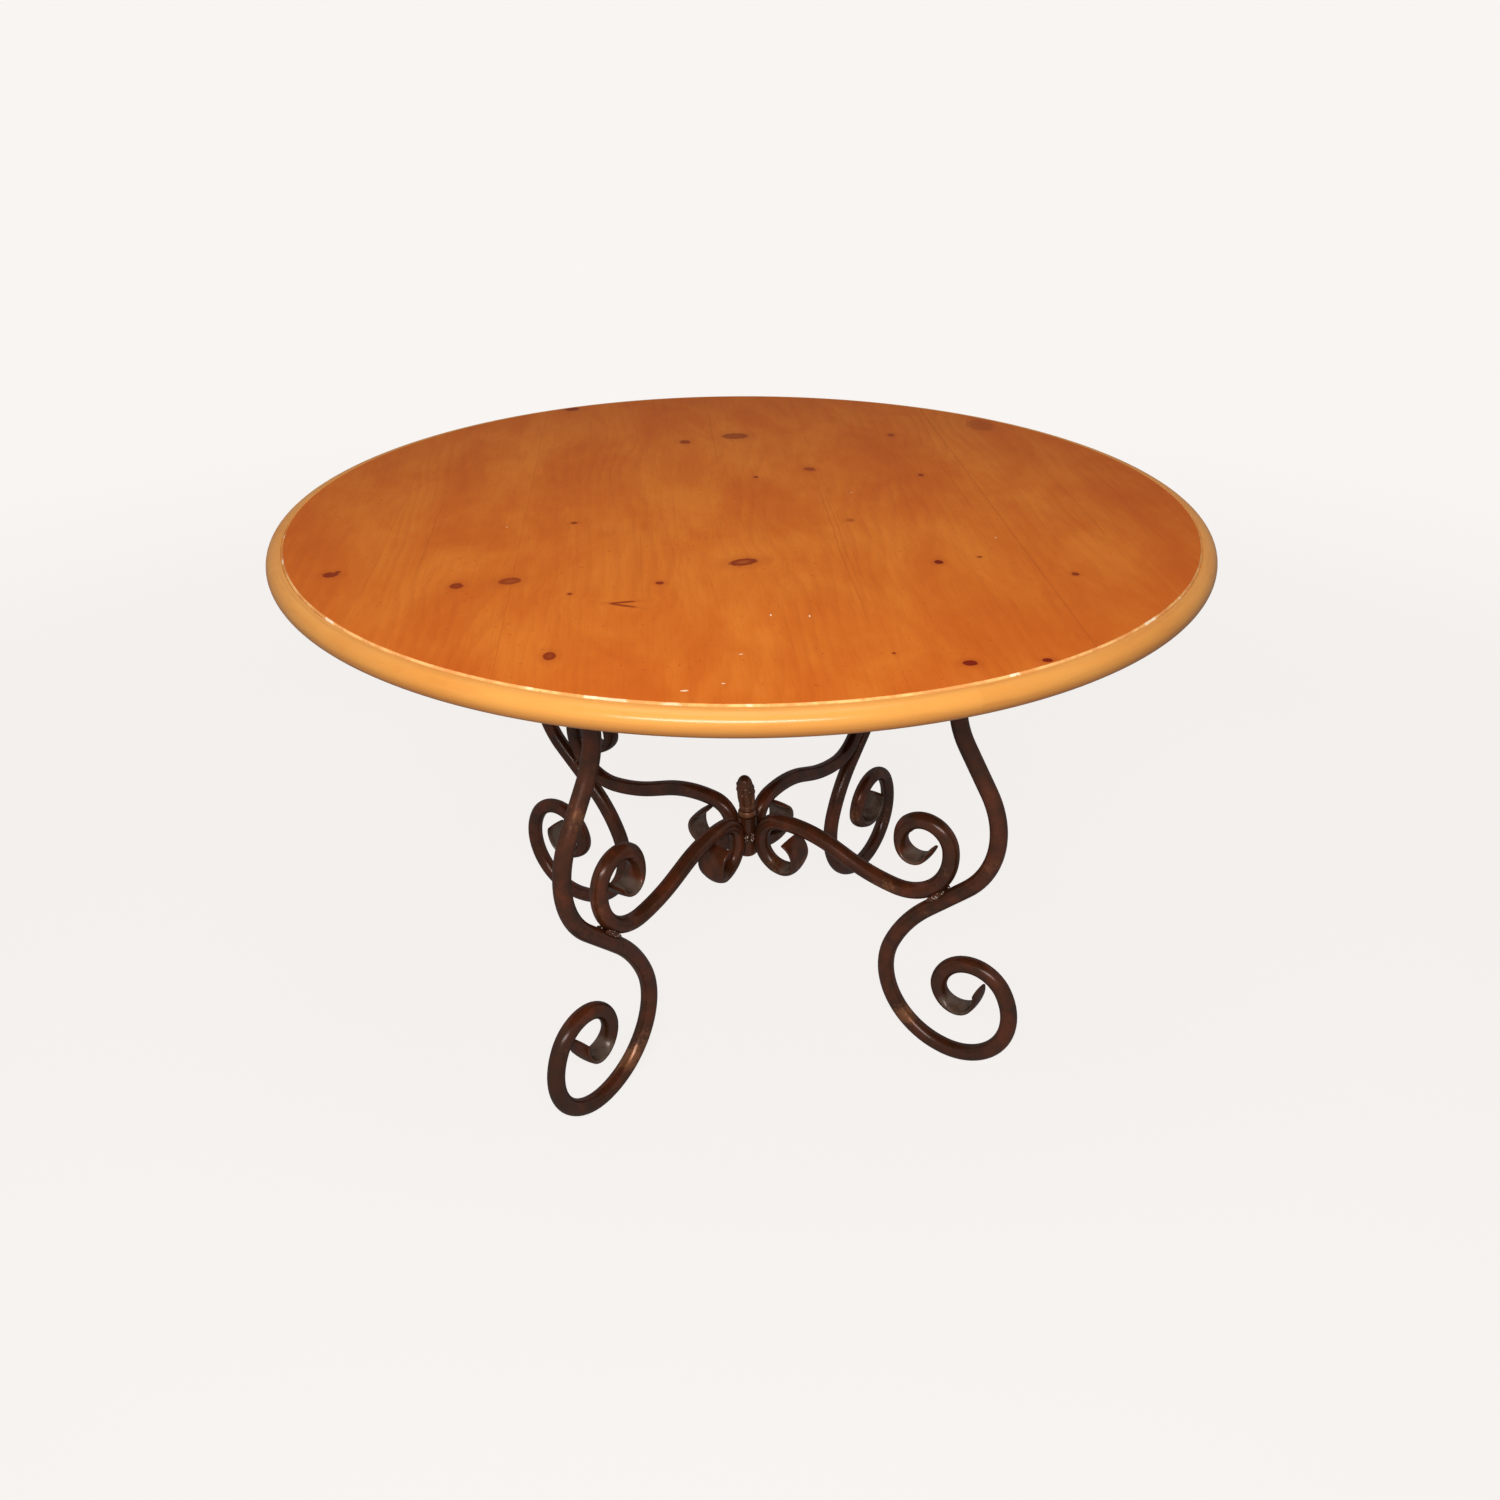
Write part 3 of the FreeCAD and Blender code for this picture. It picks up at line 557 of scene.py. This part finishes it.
budNubs = {"from": 5, "to": 8, "rise": 0.0015, "gap": 0.0005, "sides": 14}
leanAxis = (0.552, -0.834, 0.0)


def leanPiece(piece, foot, degrees):  # tips it to the photograph's left, between the two left legs
    turn = Quaternion(leanAxis, math.radians(degrees))
    piece.rotation_euler = turn.to_euler()
    piece.location = foot - turn @ foot


def makeHub():
    for name, (node, lean, wornAndHighlit, outline) in hubTurning.items():
        low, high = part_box(node)
        rings = [(radius, low[2] + share * (high[2] - low[2])) for radius, share in outline]
        piece = turnPiece(name, rings, budNubs["sides"])

        def knobbly(face):  # every second face of each ring in the bud's band, staggered ring by ring
            row = sum(face.center.z > height for radius, height in rings)
            column = round(math.atan2(face.center.y, face.center.x) / math.tau * budNubs["sides"] - 0.5)
            return lean > 0 and budNubs["from"] <= row <= budNubs["to"] and (row + column) % 2 == 0

        pickFaces(piece, knobbly)
        if lean > 0:
            bpy.ops.mesh.inset(thickness=budNubs["gap"], use_individual=True)
            bpy.ops.mesh.extrude_region_shrink_fatten(TRANSFORM_OT_shrink_fatten={"value": budNubs["rise"]})
        bpy.ops.object.mode_set(mode="OBJECT")
        # nub tips and the collar's and neck's bands take the lighter copper, as wear and painted highlights
        piece.data.materials.append(hubRubbedLitIron)
        piece.data.materials.append(tipWearAndHighlight if lean > 0 else collarWearAndHighlight)
        for face in piece.data.polygons:
            share = (face.center.z - low[2]) / (high[2] - low[2])
            face.material_index = int(face.select if lean > 0 else wornAndHighlit[0] < share < wornAndHighlit[1])
        useModifier(piece, "SUBSURF", levels=2, render_levels=2)
        leanPiece(piece, Vector((0, 0, low[2])), lean)
        finishPiece(piece, None, [node])


makeHub()
print("hub made")


# the solids' own beads, roughened like run metal
weldBeads = {"merge": 0.00005, "lump": 0.0035, "rise": 0.0011}


def makeWelds():
    bead = nodes["welds"].copy()
    bead.data = nodes["welds"].data.copy()
    bead.parent = None
    bead.name = "weldBeads"
    bpy.context.scene.collection.objects.link(bead)
    for key in list(bead.keys()):
        del bead[key]
    bead.hide_render = bead.hide_viewport = False
    editPiece(bead, "VERT")
    bpy.ops.mesh.select_all(action="SELECT")
    bpy.ops.mesh.remove_doubles(threshold=weldBeads["merge"])
    bpy.ops.mesh.subdivide(number_cuts=1)
    bpy.ops.object.mode_set(mode="OBJECT")
    lumps = bpy.data.textures.new("weldLumps", "CLOUDS")
    lumps.noise_scale = weldBeads["lump"]
    useModifier(bead, "DISPLACE", texture=lumps, strength=weldBeads["rise"], mid_level=0.5)
    finishPiece(bead, weldMaterial, ["welds"])


makeWelds()
print("welds made")


studio = {
    "floorSize": 60, "nearFloor": 1.4, "farFloor": 3.6, "shadowShare": 0.08, "softStrength": 0.11,
    "pale": srgb(249, 245, 242), "bounce": srgb(150, 146, 142), "soft": (1, 0.98, 0.96, 1),
}


def seenDirectly(tree):  # by the camera, or in or through a shiny surface
    rays = addNode(tree, "ShaderNodeLightPath").outputs
    throughShine = sums(tree, "MAXIMUM", rays["Is Glossy Ray"], rays["Is Transmission Ray"])
    return sums(tree, "MAXIMUM", rays["Is Camera Ray"], throughShine)


pickNothing()
bpy.ops.mesh.primitive_plane_add(size=studio["floorSize"], location=(0, 0, 0))
floor = bpy.context.object
floor.name = "floor"
floorMaterial = bpy.data.materials.new("paleFloor")
floorMaterial.use_nodes = True
tree = floorMaterial.node_tree
tree.nodes.clear()
glow = addNode(tree, "ShaderNodeEmission", {"Color": studio["pale"], "Strength": 1.0}).outputs[0]
place = objectPlace(tree)
distance = addNode(tree, "ShaderNodeVectorMath", {0: place}, operation="LENGTH").outputs["Value"]
near = spread(tree, distance, studio["nearFloor"], studio["farFloor"], 1 - studio["shadowShare"], 1.0)
seen = seenDirectly(tree)
paint = mixed(tree, seen, studio["bounce"], studio["pale"])
lit = addNode(tree, "ShaderNodeBsdfDiffuse", {"Color": paint}).outputs[0]
share = sums(tree, "MULTIPLY", near, seen)
blend = addNode(tree, "ShaderNodeMixShader", {0: share, 1: lit, 2: glow}).outputs[0]
addNode(tree, "ShaderNodeOutputMaterial", {"Surface": blend})
floor.data.materials.append(floorMaterial)

world = bpy.data.worlds.new("studioWorld")
bpy.context.scene.world = world
world.use_nodes = True
tree = world.node_tree
tree.nodes.clear()
seen = seenDirectly(tree)
softSky = {"Color": studio["soft"], "Strength": studio["softStrength"]}
soft = addNode(tree, "ShaderNodeBackground", softSky).outputs[0]
plain = addNode(tree, "ShaderNodeBackground", {"Color": studio["pale"], "Strength": 1.0}).outputs[0]
blend = addNode(tree, "ShaderNodeMixShader", {0: seen, 1: soft, 2: plain}).outputs[0]
addNode(tree, "ShaderNodeOutputWorld", {"Surface": blend})

lamps = {
    "keyLamp": {"at": (1.02, -1.72, 1.72), "aim": (0.1, -0.15, 0.62),
                "size": 1.6, "height": 0.4, "power": 42},
    "topLamp": {"at": (0.15, -0.25, 2.7), "aim": (0.0, 0.0, 0.7),
                "size": 1.6, "height": 1.6, "power": 15},
}
for name, lamp in lamps.items():
    pickNothing()
    bpy.ops.object.light_add(type="AREA", location=lamp["at"])
    light = bpy.context.object
    light.name = name
    light.data.shape = "ELLIPSE"
    light.data.size = lamp["size"]
    light.data.size_y = lamp["height"]
    light.data.energy = lamp["power"]
    toAim = Vector(lamp["aim"]) - Vector(lamp["at"])
    light.rotation_euler = toAim.to_track_quat("-Z", "Y").to_euler()

photoCamera = {
    "at": (0.98550, -1.41742, 1.34903), "right": (0.83402666, 0.55169948, 0.00521637),
    "up": (-0.26248843, 0.38846293, 0.88328726), "forward": (-0.48528276, 0.73805436, -0.46880317),
    "lens": 32.182, "sensor": 36, "shift": (-0.01815, -0.01263), "farthest": 200,
}
pickNothing()
bpy.ops.object.camera_add()
camera = bpy.context.object
camera.name = "photoCamera"
back = [-part for part in photoCamera["forward"]]
axes = Matrix((photoCamera["right"], photoCamera["up"], back)).transposed()
camera.matrix_world = Matrix.Translation(photoCamera["at"]) @ axes.to_4x4()
camera.data.sensor_width = photoCamera["sensor"]
camera.data.lens = photoCamera["lens"]
camera.data.shift_x, camera.data.shift_y = photoCamera["shift"]
camera.data.clip_end = photoCamera["farthest"]
bpy.context.scene.camera = camera
bpy.context.scene.view_settings.view_transform = "Standard"
print("studio set")
